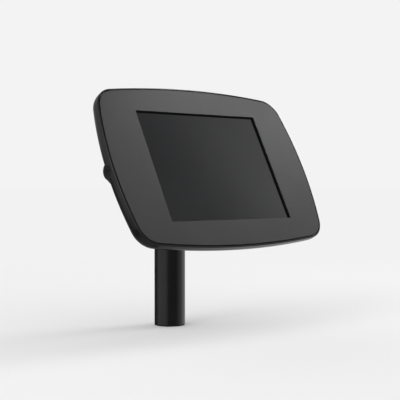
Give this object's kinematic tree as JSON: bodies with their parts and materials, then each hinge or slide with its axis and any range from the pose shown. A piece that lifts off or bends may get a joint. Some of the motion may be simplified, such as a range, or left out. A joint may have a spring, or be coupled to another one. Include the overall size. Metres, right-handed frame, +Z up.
{
  "type": "tablet mount",
  "caption": "Counter mount that holds a tablet in a lockable flat case, tilted back on a bent tube arm, and turns between landscape and portrait.",
  "frame": {"origin": "middle of the arm's foot on the counter, at the mouth of the cable bore", "axes": "+Z up along the upright tube, +X to the right of someone who faces the screen, -Y towards them"},
  "size_m": [0.3194, 0.1596, 0.3036],
  "materials": {
    "arm_paint": "satin black powder coat on steel tube",
    "face_paint": "satin black powder coat on steel sheet",
    "case_plastic": "satin black moulded plastic",
    "flange_black": "black anodised, turned",
    "steel": "zinc plated",
    "black_screws": "black oxide",
    "lock_black": "black electrocoat",
    "washer_plastic": "black acetal",
    "rubber": "matt",
    "foam": "closed-cell foam",
    "tablet_aluminium": "fine blasted and anodised",
    "battery": "film wrapped",
    "display_glass": "switched-off display",
    "cover_glass": "polished cover glass"
  },
  "bodies": {
    "arm": {"arm_pole": "arm_paint", "arm_bend": "arm_paint", "base_plug": "steel", "foot_gasket": "rubber", "arm_flange": "flange_black", "collar_set_screws": "black_screws", "outer_friction_washer": "washer_plastic", "inner_friction_washer": "washer_plastic", "retaining_plate": "steel", "retaining_screws": "black_screws", "hub_grommet": "rubber", "stop_pin": "steel"},
    "head": {"rear_case": "case_plastic", "backing_plate": "steel", "backing_screws": "black_screws", "backing_nuts": "steel", "lock_barrel": "lock_black", "lock_clip": "steel", "tablet_shell": "tablet_aluminium", "tablet_battery": "battery", "tablet_display": "display_glass", "tablet_glass": "cover_glass", "tablet_back_pads": "foam", "tablet_corner_pads": "foam"},
    "face": {"faceplate": "face_paint", "window_gasket": "foam", "lock_strike": "steel", "hinge_tongue": "steel", "bracket_studs": "steel", "bracket_nuts": "steel"},
    "lock_core": {"lock_plug": "lock_black", "lock_cam": "steel", "cam_pin": "steel", "cam_screw": "steel"}
  },
  "joints": [
    {"name": "head_rotate", "type": "hinge", "parent": "arm", "child": "head", "pos_m": [0, -0.08902, 0.20664], "axis": [0, -0.8858, 0.4641], "range_deg": [0, 90]},
    {"name": "faceplate_open", "type": "hinge", "parent": "head", "child": "face", "pos_m": [0.157, -0.08814, 0.20618], "axis": [0, 0.4641, 0.8858], "range_deg": [0, 40]},
    {"name": "lock_turn", "type": "hinge", "parent": "head", "child": "lock_core", "pos_m": [-0.1595, -0.08188, 0.19872], "axis": [-1, 0, 0], "range_deg": [0, 90]}
  ]
}
